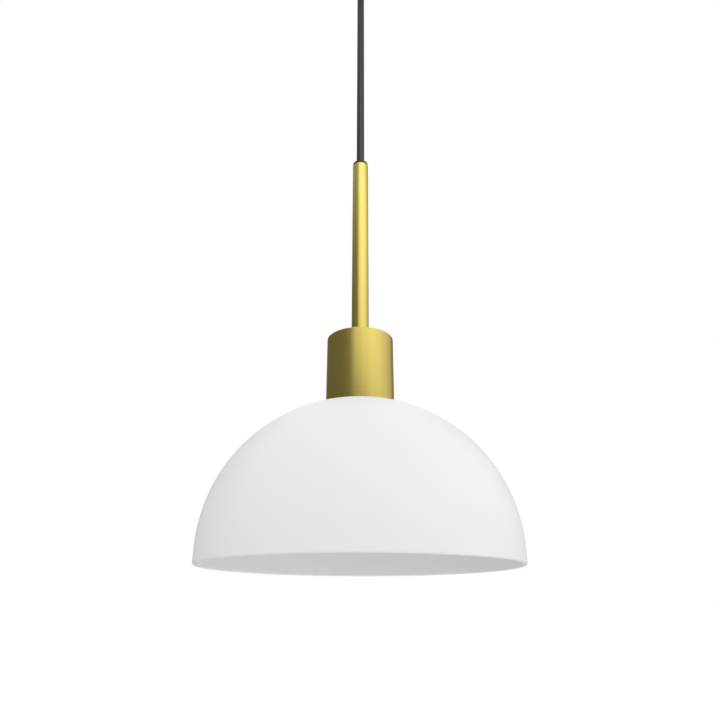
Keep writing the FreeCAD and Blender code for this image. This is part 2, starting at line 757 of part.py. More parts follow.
def terminal_housing():
    """A two-pole connector strip: a waisted body along each pole, with a chimney over each screw."""
    end, pole_r = block_start + block_length, pole_pitch / 2
    waist_top, top = canopy_floor + block_waist_h, canopy_floor + block_h
    middle = block_start + block_length / 2
    housing = block(-pole_r, pole_r, middle - bridge_w / 2, middle + bridge_w / 2, canopy_floor,
                    canopy_floor + bridge_h)
    for x in pole_places():
        half = pole_r - block_screw_room
        housing = housing.fuse(block(x - half, x + half, block_start, end, canopy_floor, waist_top))
        for y in screw_levels():
            housing = housing.fuse(cylinder(half, canopy_floor, top, x, y))
    for x in pole_places():
        hole = rod(insert_d / 2 + seat_gap, (x, block_start, wire_hole_z), (x, end, wire_hole_z))
        housing = housing.cut(hole)
        for y in screw_levels():
            housing = housing.cut(cylinder(block_screw_d / 2 + block_screw_room, wire_hole_z, top, x, y))
    return housing.removeSplitter()


def terminal_inserts():
    start, end = block_start + insert_inset, block_start + block_length - insert_inset
    inserts = []
    for x in pole_places():
        insert = rod(insert_d / 2, (x, start, wire_hole_z), (x, end, wire_hole_z))
        insert = insert.cut(rod(insert_bore_d / 2, (x, start, wire_hole_z), (x, end, wire_hole_z)))
        for y in screw_levels():
            insert = insert.cut(cylinder(block_screw_d / 2 + thread_gap, wire_hole_z,
                                         wire_hole_z + insert_d, x, y))
        inserts.append(insert)
    return Part.makeCompound(inserts)


def terminal_screws():
    bottom = wire_hole_z + core_d / 2 + clamp_gap
    top = wire_hole_z + insert_d / 2 + block_screw_out
    screws = []
    for x in pole_places():
        for y in screw_levels():
            screw = cylinder(block_screw_d / 2, bottom, top, x, y)
            slot = block(x - block_screw_d, x + block_screw_d, y - driver_slot_w / 2, y + driver_slot_w / 2,
                         top - driver_slot_depth, top)
            screws.append(screw.cut(slot))
    return Part.makeCompound(screws)


def canopy_cores():
    """The two cores from the cable's tail, over and down into the terminal block."""
    start = stub_top + tail_above_stub
    top = start + canopy_core_rise
    end = block_start + block_screw_inset + canopy_core_past
    cores = []
    for side in (-1, 1):
        x0, x1 = side * core_spacing / 2, side * pole_pitch / 2
        cores.append(bent_rod(core_d / 2, [
            (x0, 0, start), (x0, 0, top), (x1, 0.45 * block_start, top),
            (x1, 0.72 * block_start, wire_hole_z), (x1, end, wire_hole_z),
        ]))
    return Part.makeCompound(cores)


# ---------------------------------------------------------------- one STEP file per node
NODES = {
    "mounting_bracket": mounting_bracket,
    "canopy_cup": canopy_cup,
    "canopy_side_nuts": canopy_side_nuts,
    "canopy_side_screws": canopy_side_screws,
    "cord_grip_body": cord_grip_body,
    "cord_grip_insert": cord_grip_insert,
    "cord_grip_screw": cord_grip_screw,
    "grip_washer": grip_washer,
    "grip_locknut": grip_locknut,
    "canopy_cable_tail": canopy_cable_tail,
    "canopy_cores": canopy_cores,
    "terminal_housing": terminal_housing,
    "terminal_inserts": terminal_inserts,
    "terminal_screws": terminal_screws,
    "suspension_cable": suspension_cable,
    "stem_gland": stem_gland,
    "gland_sleeve": gland_sleeve,
    "stem_tube": stem_tube,
    "stem_cable": stem_cable,
    "threaded_nipple": threaded_nipple,
    "lampholder_cup": lampholder_cup,
    "cup_washer": cup_washer,
    "cup_locknut": cup_locknut,
    "holder_cap": holder_cap,
    "holder_lock_screw": holder_lock_screw,
    "holder_shell": holder_shell,
    "screw_shell": screw_shell,
    "holder_core": holder_core,
    "core_screws": core_screws,
    "live_strap": live_strap,
    "neutral_strap": neutral_strap,
    "holder_terminals": holder_terminals,
    "holder_terminal_screws": holder_terminal_screws,
    "holder_cores": holder_cores,
    "centre_contact": centre_contact,
    "contact_spring": contact_spring,
    "upper_gasket": upper_gasket,
    "glass_shade": glass_shade,
    "lower_gasket": lower_gasket,
    "shade_ring": shade_ring,
}


def main():
    os.makedirs("parts", exist_ok=True)
    for name, make in NODES.items():
        shape = make()
        solids = shape.Solids
        if not solids or not all(s.isValid() and s.Volume > 0 for s in solids):
            raise ValueError(f"{name} is not a set of valid solids")
        shape = solids[0] if len(solids) == 1 else Part.makeCompound(solids)
        shape.exportStep(f"parts/{name}.step")
    print(f"rim {rim:.2f}, crown {crown:.2f}, cup top {cup_top:.2f}, stem top {stem_top:.2f}, "
          f"mouth {mouth:.2f}, upper pivot {upper_pivot:.2f}, lower pivot {lower_pivot:.2f}")


main()
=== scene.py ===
import json
import math

import bpy
from mathutils import Matrix, Vector


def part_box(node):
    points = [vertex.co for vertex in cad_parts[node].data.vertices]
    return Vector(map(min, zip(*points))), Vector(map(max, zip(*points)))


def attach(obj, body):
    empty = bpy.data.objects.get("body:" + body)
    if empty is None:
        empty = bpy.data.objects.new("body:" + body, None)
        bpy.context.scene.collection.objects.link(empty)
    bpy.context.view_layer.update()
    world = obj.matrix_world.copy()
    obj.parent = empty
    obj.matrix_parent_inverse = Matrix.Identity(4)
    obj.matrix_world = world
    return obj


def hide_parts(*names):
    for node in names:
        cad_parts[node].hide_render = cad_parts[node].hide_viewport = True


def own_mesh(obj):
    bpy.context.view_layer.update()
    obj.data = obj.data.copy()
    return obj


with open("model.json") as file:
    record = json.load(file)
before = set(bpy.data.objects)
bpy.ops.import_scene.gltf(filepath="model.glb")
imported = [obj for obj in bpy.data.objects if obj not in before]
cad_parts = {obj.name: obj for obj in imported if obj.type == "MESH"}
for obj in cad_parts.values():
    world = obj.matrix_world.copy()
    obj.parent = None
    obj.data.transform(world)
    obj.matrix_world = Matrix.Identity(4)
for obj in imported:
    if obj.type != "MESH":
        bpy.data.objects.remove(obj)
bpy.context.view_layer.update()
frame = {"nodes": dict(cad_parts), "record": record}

# A pendant lamp hanging towards -Z from the middle of its mounting bracket's top face. The turned pieces
# that show are made again here with rounded edges, and the other nodes stay and get a node material.
MM = 0.001
TURN = 2 * math.pi

# ---------------------------------------------------------------- levels and radii from the frame
shade_low, shade_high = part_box("glass_shade")
cup_low, cup_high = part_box("lampholder_cup")
stem_low, stem_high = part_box("stem_tube")
gland_low, gland_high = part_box("stem_gland")
cable_low, cable_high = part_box("suspension_cable")
screw_low, screw_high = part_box("canopy_side_screws")
ring_low, ring_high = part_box("shade_ring")
sleeve_low, sleeve_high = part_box("screw_shell")
spring_low, spring_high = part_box("contact_spring")
RIM, CROWN = shade_low.z, shade_high.z
SHADE_R, CUP_R, STEM_R, CABLE_R = shade_high.x, cup_high.x, stem_high.x, cable_high.x

# ---------------------------------------------------------------- sizes that the frame doesn't give
GLASS_T = 3.0 * MM
RIM_ROUND = 1.0 * MM
SHADE_SKIRT = 9.2 * MM
LOWER_ARC_R, LOWER_ARC_END = 99.0 * MM, math.radians(53.8)
MIDDLE_ARC_R, MIDDLE_ARC_END = 145.0 * MM, math.radians(57.7)
CROWN_CENTRE = 8.76 * MM
SEAT_ROUND = 8.0 * MM
SEAT_BLEND = 0.8 * MM
SHADE_HOLE_R, HOLE_ROUND = 21.0 * MM, 0.6 * MM
LOWER_STEPS, MIDDLE_STEPS, CROWN_STEPS = 36, 4, 16
CUP_WALL, CUP_ROUND, CUP_EDGE = 1.2 * MM, 0.8 * MM, 0.3 * MM
NIPPLE_HOLE_R = 5.15 * MM
STEM_BORE_R, STEM_TAP_R, STEM_TAP_DEPTH = 4.5 * MM, 5.05 * MM, 12.0 * MM
STEM_ROUND, STEM_EDGE = 0.4 * MM, 0.15 * MM
GLAND_BORE_R = CABLE_R + 0.15 * MM
SWING_ANGLE = math.radians(20)
SWING_R = CABLE_R / math.cos(SWING_ANGLE) + 0.35 * MM
GLAND_SPIGOT_R, GLAND_ROUND, GLAND_FLARE = 5.0 * MM, 0.6 * MM, 2.5 * MM
GLAND_MOUTH_R = SWING_R + math.tan(SWING_ANGLE) * GLAND_FLARE
SIDE_HEAD_R, SIDE_HEAD_T, SIDE_SHANK_R = 4.5 * MM, 5.0 * MM, 2.0 * MM
SIDE_CHAMFER, SIDE_DISH = 0.5 * MM, 0.25 * MM
KNURL_AROUND, KNURL_ALONG, KNURL_DEPTH = 32, 1.25 * MM, 0.32 * MM
RING_BORE_R, RING_BODY_R, RING_FLANGE_R = 19.8 * MM, 22.5 * MM, 25.5 * MM
RING_FLANGE_T, RING_EDGE, RING_ROUND = 2.5 * MM, 0.3 * MM, 0.8 * MM
RING_CLEAR = 0.02 * MM                     # under the lower gasket
RING_RIBS, RING_RIB_R = 36, 0.7 * MM
SLEEVE_T, SLEEVE_FADE = 0.3 * MM, 1.5 * MM
SLEEVE_THREAD_DEPTH, SLEEVE_PITCH = 1.1 * MM, 3.63 * MM
SPRING_WIRE_R, SPRING_TURNS = 0.225 * MM, 4

# ---------------------------------------------------------------- camera, floor and light
CAMERA_SENSOR, CAMERA_LENS = 36.0, 30.17   # the camera's own millimetres
CAMERA_PLACE = Vector((-0.1 * MM, -0.4106, RIM - 26.8 * MM))
CAMERA_PITCH, CAMERA_ROLL = math.radians(90 + 22.70), math.radians(0.1)
FLOOR_Z, FLOOR_HALF = RIM - 0.55, 30.0
LIGHT_LEVEL = 0.955                        # soft light on the lamp, at its middle level
LIGHT_SLOPE = Vector((0.27, -0.14, 0.43))  # and the way it grows brighter
ROOM_DARK, ROOM_TOP = 0.105, 0.74          # the room that the metal mirrors
ROOM_START, ROOM_END = 0.46, 0.88          # how high it starts and ends to brighten, as a sine
SOFTBOX_DISTANCE = 1.6
BANK_START, BANK_STEP = -12, 26            # azimuths of the bank's softboxes, degrees
BANK = ((38, 0.80), (36, 0.92), (33, 1.0), (30, 0.86), (26, 0.64), (22, 0.42))  # elevation, level
BANK_HALF_WIDTH, HALF_HEIGHT = 11, 18
REAR_AZIMUTH, REAR_ELEVATION, REAR_HALF_WIDTH, REAR_LEVEL = 180, 34, 18, 0.8
FILL_R, FILL_DROP, FILL_LEVEL = 0.1, 0.35, 1.2


# ---------------------------------------------------------------- outlines and turned meshes
def arc(centre, radius, start, end, steps):
    """Outline points along an arc about centre, as (point, normal before, normal after)."""
    side = 1 if end > start else -1
    points = []
    for k in range(steps + 1):
        angle = start + (end - start) * k / steps
        out = Vector((math.cos(angle), math.sin(angle)))
        points.append((Vector(centre) + out * radius, out * side, out * side))
    return points


def outline(items, steps=5):
    """A closed (radius, z) outline, walked with the solid on its left.

    An item is a corner, (radius, z, rounding), or a list of points made by arc().
    """
    first = [item[0][0] if isinstance(item, list) else Vector(item[:2]) for item in items]
    last = [item[-1][0] if isinstance(item, list) else Vector(item[:2]) for item in items]
    points = []
    for i, item in enumerate(items):
        if isinstance(item, list):
            points += item
            continue
        here, rounding = Vector(item[:2]), item[2]
        into = (here - last[i - 1]).normalized()
        out = (first[(i + 1) % len(items)] - here).normalized()
        before, after = Vector((into.y, -into.x)), Vector((out.y, -out.x))
        if rounding == 0:
            points.append((here, before, after))
            continue
        turn = math.atan2(into.x * out.y - into.y * out.x, into.dot(out))
        side = math.copysign(1, turn)
        start = here - into * rounding * math.tan(abs(turn) / 2)
        centre = start - before * side * rounding
        for k in range(steps + 1):
            normal = Matrix.Rotation(turn * k / steps, 2) @ before
            points.append((centre + normal * side * rounding, normal, normal))
    kept = [p for i, p in enumerate(points) if (p[0] - points[i - 1][0]).length > 1e-7]
    return kept


def new_object(name, mesh):
    made = bpy.data.objects.new(name, mesh)
    bpy.context.scene.collection.objects.link(made)
    return made


def lathe(name, points, segments=192):
    """Turns a closed outline about Z, with the outline's own normals on the mesh."""
    count = len(points)
    verts, faces, normals = [], [], []
    turns = [(math.cos(TURN * i / segments), math.sin(TURN * i / segments)) for i in range(segments)]
    for (r, z), _, _ in points:
        verts += [(r * c, r * s, z) for c, s in turns]
    for j in range(count):
        k = (j + 1) % count
        after, before = points[j][2], points[k][1]
        for i in range(segments):
            h = (i + 1) % segments
            faces.append((j * segments + i, j * segments + h, k * segments + h, k * segments + i))
            for normal, t in ((after, i), (after, h), (before, h), (before, i)):
                normals.append((normal.x * turns[t][0], normal.x * turns[t][1], normal.y))
    mesh = bpy.data.meshes.new(name)
    mesh.from_pydata(verts, [], faces)
    mesh.polygons.foreach_set("use_smooth", [True] * len(faces))
    mesh.normals_split_custom_set(normals)
    return new_object(name, mesh)


def smooth_object(name, verts, faces, sharp):
    """An object from points and faces, smooth except at edges sharper than the angle."""
    mesh = bpy.data.meshes.new(name)
    mesh.from_pydata(verts, [], faces)
    mesh.polygons.foreach_set("use_smooth", [True] * len(faces))
    mesh.set_sharp_from_angle(angle=math.radians(sharp))
    return new_object(name, mesh)


def shaped_lathe(name, points, shape, segments, sharp=40):
    """Turns a closed outline about Z and moves each point by shape(angle, radius, z) -> radius."""
    count = len(points)
    verts, faces = [], []
    for r, z in points:
        for i in range(segments):
            angle = TURN * i / segments
            moved = shape(angle, r, z)
            verts.append((moved * math.cos(angle), moved * math.sin(angle), z))
    for j in range(count):
        k = (j + 1) % count
        for i in range(segments):
            h = (i + 1) % segments
            faces.append((j * segments + i, j * segments + h, k * segments + h, k * segments + i))
    return smooth_object(name, verts, faces, sharp)


def spaced(z0, z1, step):
    """Levels from z0 to z1, both included, about step apart."""
    count = max(1, round(abs(z1 - z0) / step))
    return [z0 + (z1 - z0) * k / count for k in range(count + 1)]


# ---------------------------------------------------------------- materials
class Shader:
    """A node material with a Principled shader, and short calls to add what feeds it."""

    def __init__(self, name, **values):
        self.material = bpy.data.materials.new(name)
        self.material.use_nodes = True
        self.tree = self.material.node_tree
        self.surface = self.tree.nodes["Principled BSDF"]
        for socket, value in values.items():
            self.surface.inputs[socket.replace("_", " ")].default_value = value
        self.object_coords = self.node("ShaderNodeTexCoord").outputs["Object"]

    def node(self, kind, settings=None, **inputs):
        made = self.tree.nodes.new(kind)
        for key, value in (settings or {}).items():
            setattr(made, key, value)
        for key, value in inputs.items():
            self.feed(made.inputs[key.replace("_", " ")], value)
        return made

    def feed(self, socket, value):
        if isinstance(value, bpy.types.NodeSocket):
            self.tree.links.new(value, socket)
        else:
            socket.default_value = value

    def math(self, operation, *values):
        made = self.node("ShaderNodeMath", {"operation": operation})
        for socket, value in zip(made.inputs, values):
            self.feed(socket, value)
        return made.outputs[0]

    def scaled(self, x, y, z):
        """The object's coordinates, stretched."""
        made = self.node("ShaderNodeVectorMath", {"operation": "MULTIPLY"})
        self.feed(made.inputs[0], self.object_coords)
        made.inputs[1].default_value = (x, y, z)
        return made.outputs[0]

    def noise(self, vector, scale=1.0, detail=2.0, roughness=0.5):
        return self.node("ShaderNodeTexNoise", Vector=vector, Scale=scale, Detail=detail,
                         Roughness=roughness).outputs["Fac"]

    def between(self, factor, low, high):
        """A number from low to high as the factor goes from 0.3 to 0.7."""
        made = self.node("ShaderNodeMapRange", Value=factor)
        for key, value in (("From Min", 0.3), ("From Max", 0.7), ("To Min", low), ("To Max", high)):
            made.inputs[key].default_value = value
        return made.outputs[0]

    def colours(self, factor, low, high):
        made = self.node("ShaderNodeMix", {"data_type": "RGBA"})
        self.feed(made.inputs["Factor"], factor)
        made.inputs["A"].default_value = (*low, 1)
        made.inputs["B"].default_value = (*high, 1)
        return made.outputs["Result"]

    def bump(self, height, distance, strength=1.0):
        made = self.node("ShaderNodeBump", Height=height, Distance=distance, Strength=strength)
        self.feed(self.surface.inputs["Normal"], made.outputs[0])


def turning_coords(shader, around, along):
    """Coordinates that run along Z on a wall and along the radius on a flat end, for marks round the axis."""
    parts = shader.node("ShaderNodeSeparateXYZ", Vector=shader.object_coords).outputs
    squares = shader.math("ADD", shader.math("MULTIPLY", parts[0], parts[0]),
                          shader.math("MULTIPLY", parts[1], parts[1]))
    along_it = shader.math("MULTIPLY", shader.math("ADD", parts[2], shader.math("SQRT", squares)), along)
    return shader.node("ShaderNodeCombineXYZ", X=shader.math("MULTIPLY", parts[0], around),
                       Y=shader.math("MULTIPLY", parts[1], around), Z=along_it).outputs[0]


def brushed_brass():
    """Satin brass, brushed round the axis, under a thin clear lacquer."""
    shader = Shader("brushed_brass", Metallic=1.0, Anisotropic=0.5, Coat_Weight=0.4, Coat_Roughness=0.25)
    coarse = shader.noise(turning_coords(shader, 9, 1500), detail=2)
    fine = shader.noise(turning_coords(shader, 14, 5200), detail=1)
    marks = shader.math("MULTIPLY_ADD", fine, 0.6, shader.math("MULTIPLY", coarse, 0.4))
    shader.feed(shader.surface.inputs["Base Color"],
                shader.colours(shader.between(marks, 0, 1), (0.87, 0.69, 0.16), (0.93, 0.755, 0.19)))
    shader.feed(shader.surface.inputs["Roughness"], shader.between(marks, 0.27, 0.34))
    shader.bump(marks, 0.006 * MM, 0.5)
    return shader.material


def turned_brass():
    """Bright brass of terminals and nuts, with fine machining marks."""
    shader = Shader("turned_brass", Metallic=1.0)
    marks = shader.noise(shader.scaled(900, 900, 2600), detail=2)
    shader.feed(shader.surface.inputs["Base Color"],
                shader.colours(shader.between(marks, 0, 1), (0.74, 0.57, 0.27), (0.86, 0.70, 0.38)))
    shader.feed(shader.surface.inputs["Roughness"], shader.between(marks, 0.2, 0.34))
    shader.bump(marks, 0.01 * MM, 0.5)
    return shader.material


def zinc_steel():
    """Bright zinc plating, a little cloudy."""
    shader = Shader("zinc_steel", Metallic=1.0)
    cloud = shader.noise(shader.scaled(160, 160, 160), detail=4)
    grain = shader.noise(shader.scaled(2500, 2500, 2500), detail=1)
    shader.feed(shader.surface.inputs["Base Color"],
                shader.colours(shader.between(cloud, 0, 1), (0.56, 0.58, 0.60), (0.70, 0.71, 0.72)))
    shader.feed(shader.surface.inputs["Roughness"], shader.between(cloud, 0.26, 0.42))
    shader.bump(grain, 0.01 * MM, 0.5)
    return shader.material


def nickel_shell():
    """Thin nickel-plated sheet, a little uneven."""
    shader = Shader("nickel_shell", Metallic=1.0)
    cloud = shader.noise(shader.scaled(300, 300, 300), detail=3)
    shader.feed(shader.surface.inputs["Base Color"],
                shader.colours(shader.between(cloud, 0, 1), (0.66, 0.63, 0.58), (0.76, 0.73, 0.68)))
    shader.feed(shader.surface.inputs["Roughness"], shader.between(cloud, 0.14, 0.26))
    return shader.material


def opal_glass():
    """Milk-white glass with a satin face."""
    shader = Shader("opal_glass", IOR=1.5, Specular_IOR_Level=0.2, Subsurface_Weight=0.6,
                    Subsurface_Scale=0.004, Subsurface_Radius=(1.0, 1.0, 1.0))
    cloud = shader.noise(shader.scaled(14, 14, 14), detail=3)
    grain = shader.noise(shader.scaled(1800, 1800, 1800), detail=1)
    shader.feed(shader.surface.inputs["Base Color"],
                shader.colours(shader.between(cloud, 0, 1), (0.86, 0.86, 0.86), (0.885, 0.885, 0.885)))
    shader.feed(shader.surface.inputs["Roughness"], shader.between(cloud, 0.42, 0.5))
    shader.bump(grain, 0.004 * MM, 0.4)
    return shader.material


def black_pvc():
    """The cable's smooth sheath, with faint marks along it from extrusion."""
    shader = Shader("black_pvc", Specular_IOR_Level=0.75)
    marks = shader.noise(shader.scaled(1500, 1500, 25), detail=2)
    shader.feed(shader.surface.inputs["Base Color"],
                shader.colours(shader.between(marks, 0, 1), (0.010, 0.010, 0.0105), (0.014, 0.014, 0.0145)))
    shader.feed(shader.surface.inputs["Roughness"], shader.between(marks, 0.30, 0.38))
    shader.bump(marks, 0.01 * MM, 0.4)
    return shader.material


def moulded_plastic(name, low, high, roughness=0.45):
    """Moulded plastic with a fine eroded grain."""
    shader = Shader(name)
    grain = shader.noise(shader.scaled(1600, 1600, 1600), detail=3)
    cloud = shader.noise(shader.scaled(60, 60, 60), detail=2)
    shader.feed(shader.surface.inputs["Base Color"], shader.colours(shader.between(cloud, 0, 1), low, high))
    shader.feed(shader.surface.inputs["Roughness"], shader.between(grain, roughness - 0.06, roughness + 0.08))
    shader.bump(grain, 0.02 * MM, 0.6)
    return shader.material


def clear_silicone():
    """Soft milky silicone of the gaskets."""
    shader = Shader("clear_silicone", IOR=1.41, Subsurface_Weight=0.25, Subsurface_Scale=0.002)
    cloud = shader.noise(shader.scaled(200, 200, 200), detail=2)
    shader.feed(shader.surface.inputs["Base Color"],
                shader.colours(shader.between(cloud, 0, 1), (0.74, 0.75, 0.74), (0.82, 0.83, 0.82)))
    shader.feed(shader.surface.inputs["Roughness"], shader.between(cloud, 0.3, 0.42))
    return shader.material


def core_insulation():
    """Brown on one core and blue on the other, parted by the lamp's middle plane."""
    shader = Shader("core_insulation")
    side = shader.math("GREATER_THAN", shader.node("ShaderNodeSeparateXYZ",
                                                   Vector=shader.object_coords).outputs[0], 0.0)
    grain = shader.noise(shader.scaled(900, 900, 900), detail=2)
    shader.feed(shader.surface.inputs["Base Color"], shader.colours(side, (0.13, 0.045, 0.018),
                                                                    (0.015, 0.09, 0.36)))
    shader.feed(shader.surface.inputs["Roughness"], shader.between(grain, 0.32, 0.44))
    shader.bump(grain, 0.01 * MM, 0.4)
    return shader.material


MATERIALS = {
    "brushed_brass": brushed_brass(),
    "turned_brass": turned_brass(),
    "zinc_steel": zinc_steel(),
    "nickel_shell": nickel_shell(),
    "opal_glass": opal_glass(),
    "black_pvc": black_pvc(),
    "black_plastic": moulded_plastic("black_plastic", (0.017, 0.017, 0.018), (0.026, 0.026, 0.027)),
    "white_plastic": moulded_plastic("white_plastic", (0.76, 0.75, 0.71), (0.83, 0.82, 0.78), 0.4),
    "clear_silicone": clear_silicone(),
    "core_insulation": core_insulation(),
}


def finish_piece(piece, body, slot, *nodes):
    """Gives a piece its material, hangs it on its body and hides the CAD nodes that it stands for."""
    piece.data.materials.clear()
    piece.data.materials.append(MATERIALS[slot])
    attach(piece, body)
    if nodes:
        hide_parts(*nodes)
    return piece


# ---------------------------------------------------------------- camera
def make_camera():
    """Low in front of the lamp, looking up at it."""
    data = bpy.data.cameras.new("camera")
    data.sensor_width = CAMERA_SENSOR
    data.lens = CAMERA_LENS
    data.clip_start = 0.01
    camera = new_object("camera", data)
    camera.location = CAMERA_PLACE
    turned = Matrix.Rotation(CAMERA_PITCH, 3, "X") @ Matrix.Rotation(CAMERA_ROLL, 3, "Z")
    camera.rotation_euler = turned.to_euler()
    bpy.context.scene.camera = camera


# ---------------------------------------------------------------- the hanging cable
def make_cable():
    """The cable hangs straight between its bending points, with a point 6 diameters inside each end."""
    top, bottom, near_end = cable_high.z - CABLE_R, cable_low.z + CABLE_R, 12 * CABLE_R
    levels = (top, top - near_end, bottom + near_end, bottom)
    data = bpy.data.curves.new("hanging_cable", "CURVE")
    data.dimensions = "3D"
    spline = data.splines.new("NURBS")
    spline.points.add(len(levels) - 1)
    for point, z in zip(spline.points, levels):
        point.co = (0.0, 0.0, z, 1.0)
    spline.order_u = 3
    spline.use_endpoint_u = True
    spline.resolution_u = 8
    data.bevel_depth = CABLE_R
    data.bevel_resolution = 14
    data.use_fill_caps = True
    cable = finish_piece(new_object("hanging_cable", data), "cable", "black_pvc", "suspension_cable")


# ---------------------------------------------------------------- glass shade and its ring
def make_glass():
    """The dome, its straight skirt and its flat seat, as one turned outline."""
    lower_end = Vector((math.cos(LOWER_ARC_END), math.sin(LOWER_ARC_END)))
    middle_end = Vector((math.cos(MIDDLE_ARC_END), math.sin(MIDDLE_ARC_END)))
    lower_centre = Vector((SHADE_R - LOWER_ARC_R, RIM + SHADE_SKIRT))
    middle_centre = lower_centre + lower_end * (LOWER_ARC_R - MIDDLE_ARC_R)
    crown_arc_r = MIDDLE_ARC_R - (CROWN_CENTRE - middle_centre.x) / math.cos(MIDDLE_ARC_END)
    crown_centre = middle_centre + middle_end * (MIDDLE_ARC_R - crown_arc_r)

    def dome(inset):
        """The dome's outline from the rim up to its flat seat, inset into the glass."""
        crown_r = crown_arc_r - inset
        top = CROWN - inset
        seat_angle = math.asin((top - crown_centre.y) / crown_r)
        blend_angle = seat_angle - SEAT_BLEND / crown_r
        seat_x = crown_centre.x + crown_r * math.cos(seat_angle)
        points = arc(lower_centre, LOWER_ARC_R - inset, 0.0, LOWER_ARC_END, LOWER_STEPS)
        points += arc(middle_centre, MIDDLE_ARC_R - inset, LOWER_ARC_END, MIDDLE_ARC_END, MIDDLE_STEPS)[1:]
        points += arc(crown_centre, crown_r, MIDDLE_ARC_END, blend_angle, CROWN_STEPS)[1:]
        return points, (seat_x, top, SEAT_ROUND)

    outside, outer_seat = dome(0.0)
    inside, inner_seat = dome(GLASS_T)
    inside = [(point, -normal, -normal) for point, normal, _ in reversed(inside)]
    points = outline([
        (SHADE_R - GLASS_T, RIM, RIM_ROUND), (SHADE_R, RIM, RIM_ROUND),
        outside, outer_seat,
        (SHADE_HOLE_R, CROWN, HOLE_ROUND), (SHADE_HOLE_R, CROWN - GLASS_T, HOLE_ROUND),
        inner_seat, inside,
    ], steps=8)
    finish_piece(lathe("opal_shade", points, 256), "shade", "opal_glass", "glass_shade")


def make_ring():
    """The ribbed plastic nut that holds the shade, with its flange under the glass."""
    top = ring_high.z - RING_CLEAR
    flange_z = top - RING_FLANGE_T

    def ribs(angle, radius, z):
        if radius < RING_BODY_R - 0.2 * MM or z > flange_z - 0.3 * MM:
            return radius
        across = (angle * RING_RIBS / TURN + 0.5) % 1 - 0.5
        from_rib = abs(across) * TURN / RING_RIBS * RING_BODY_R / RING_RIB_R
        height = math.sqrt(max(0.0, 1 - from_rib ** 2))
        ends = min(1.0, (z - ring_low.z) / (0.5 * MM))
        return radius + RING_RIB_R * height * ends

    foot, neck, steps = 0.4 * MM, 0.2 * MM, 4
    two_corners = 2 * (steps + 1)
    wall = [Vector((RING_BODY_R, z)) for z in spaced(ring_low.z + foot, flange_z - neck, 0.5 * MM)]
    bottom = [p for p, _, _ in outline([
        (RING_BORE_R, ring_low.z, 0.5 * MM), (RING_BODY_R, ring_low.z, foot),
        (RING_BODY_R, top, 0), (RING_BORE_R, top, 0),
    ], steps)][:two_corners]
    flange = [p for p, _, _ in outline([
        (RING_BODY_R, flange_z, neck), (RING_FLANGE_R, flange_z, RING_ROUND),
        (RING_FLANGE_R, top, RING_EDGE), (RING_BORE_R, top, RING_EDGE),
    ], steps)]
    points = bottom + wall[1:-1] + flange
    ring = shaped_lathe("shade_nut", points, ribs, RING_RIBS * 20)
    finish_piece(ring, "ring", "black_plastic", "shade_ring")


def make_sleeve():
    """The lampholder's rolled screw shell, with its round-topped thread."""
    outer = sleeve_high.x

    def thread(angle, radius, z):
        wave = 0.5 - 0.5 * math.cos(TURN * ((z - sleeve_low.z) / SLEEVE_PITCH - angle / TURN))
        from_end = min(z - sleeve_low.z, sleeve_high.z - z) / SLEEVE_FADE
        return radius - SLEEVE_THREAD_DEPTH * wave * min(1.0, max(0.0, from_end))

    levels = spaced(sleeve_low.z, sleeve_high.z, SLEEVE_PITCH / 14)
    points = [(outer, z) for z in levels] + [(outer - SLEEVE_T, z) for z in reversed(levels)]
    sleeve = shaped_lathe("screw_sleeve", points, thread, 144)
    finish_piece(sleeve, "pendant", "nickel_shell", "screw_shell")


def make_spring():
    """The coil spring behind the centre contact, made as one fixed mesh; on the real lamp it flattens as the
    contact goes in.
    """
    steps, sides = 48, 10
    rings = SPRING_TURNS * steps
    coil_r = spring_high.x - SPRING_WIRE_R
    bottom, rise = spring_low.z + SPRING_WIRE_R, spring_high.z - spring_low.z - 2 * SPRING_WIRE_R
    verts, faces = [], []
    for k in range(rings + 1):
        angle = TURN * k / steps
        level = bottom + rise * k / rings
        for i in range(sides):
            radius = coil_r + SPRING_WIRE_R * math.cos(TURN * i / sides)
            verts.append((radius * math.cos(angle), radius * math.sin(angle),
                          level + SPRING_WIRE_R * math.sin(TURN * i / sides)))
    for k in range(rings):
        for i in range(sides):
            h = (i + 1) % sides
            faces.append((k * sides + i, (k + 1) * sides + i, (k + 1) * sides + h, k * sides + h))
    faces.append(tuple(range(sides)))
    faces.append(tuple(reversed(range(rings * sides, (rings + 1) * sides))))
    spring = finish_piece(smooth_object("coil_spring", verts, faces, 50), "pendant", "zinc_steel",
                          "contact_spring")
    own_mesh(spring)


# ---------------------------------------------------------------- cup, stem and gland
def make_cup():
    """The plain brass cup over the lampholder, open at the bottom."""
    inner_r, inner_top = CUP_R - CUP_WALL, cup_high.z - CUP_WALL
    points = outline([
        (inner_r, cup_low.z, CUP_EDGE), (CUP_R, cup_low.z, CUP_EDGE), (CUP_R, cup_high.z, CUP_ROUND),
        (NIPPLE_HOLE_R, cup_high.z, 0.2 * MM), (NIPPLE_HOLE_R, inner_top, 0.2 * MM),
        (inner_r, inner_top, 0.5 * MM),
    ])
    finish_piece(lathe("brass_cup", points), "pendant", "brushed_brass", "lampholder_cup")


def make_stem():
    """The stem tube, with a wider tapped hole at each end."""
    low, high = stem_low.z, stem_high.z
    low_tap, high_tap = low + STEM_TAP_DEPTH, high - STEM_TAP_DEPTH
    points = outline([
        (STEM_TAP_R, low, STEM_EDGE), (STEM_R, low, STEM_EDGE), (STEM_R, high, STEM_ROUND),
        (STEM_TAP_R, high, STEM_EDGE), (STEM_TAP_R, high_tap, 0), (STEM_BORE_R, high_tap, 0),
        (STEM_BORE_R, low_tap, 0), (STEM_TAP_R, low_tap, 0),
    ])
    finish_piece(lathe("brass_stem", points, 128), "pendant", "brushed_brass", "stem_tube")


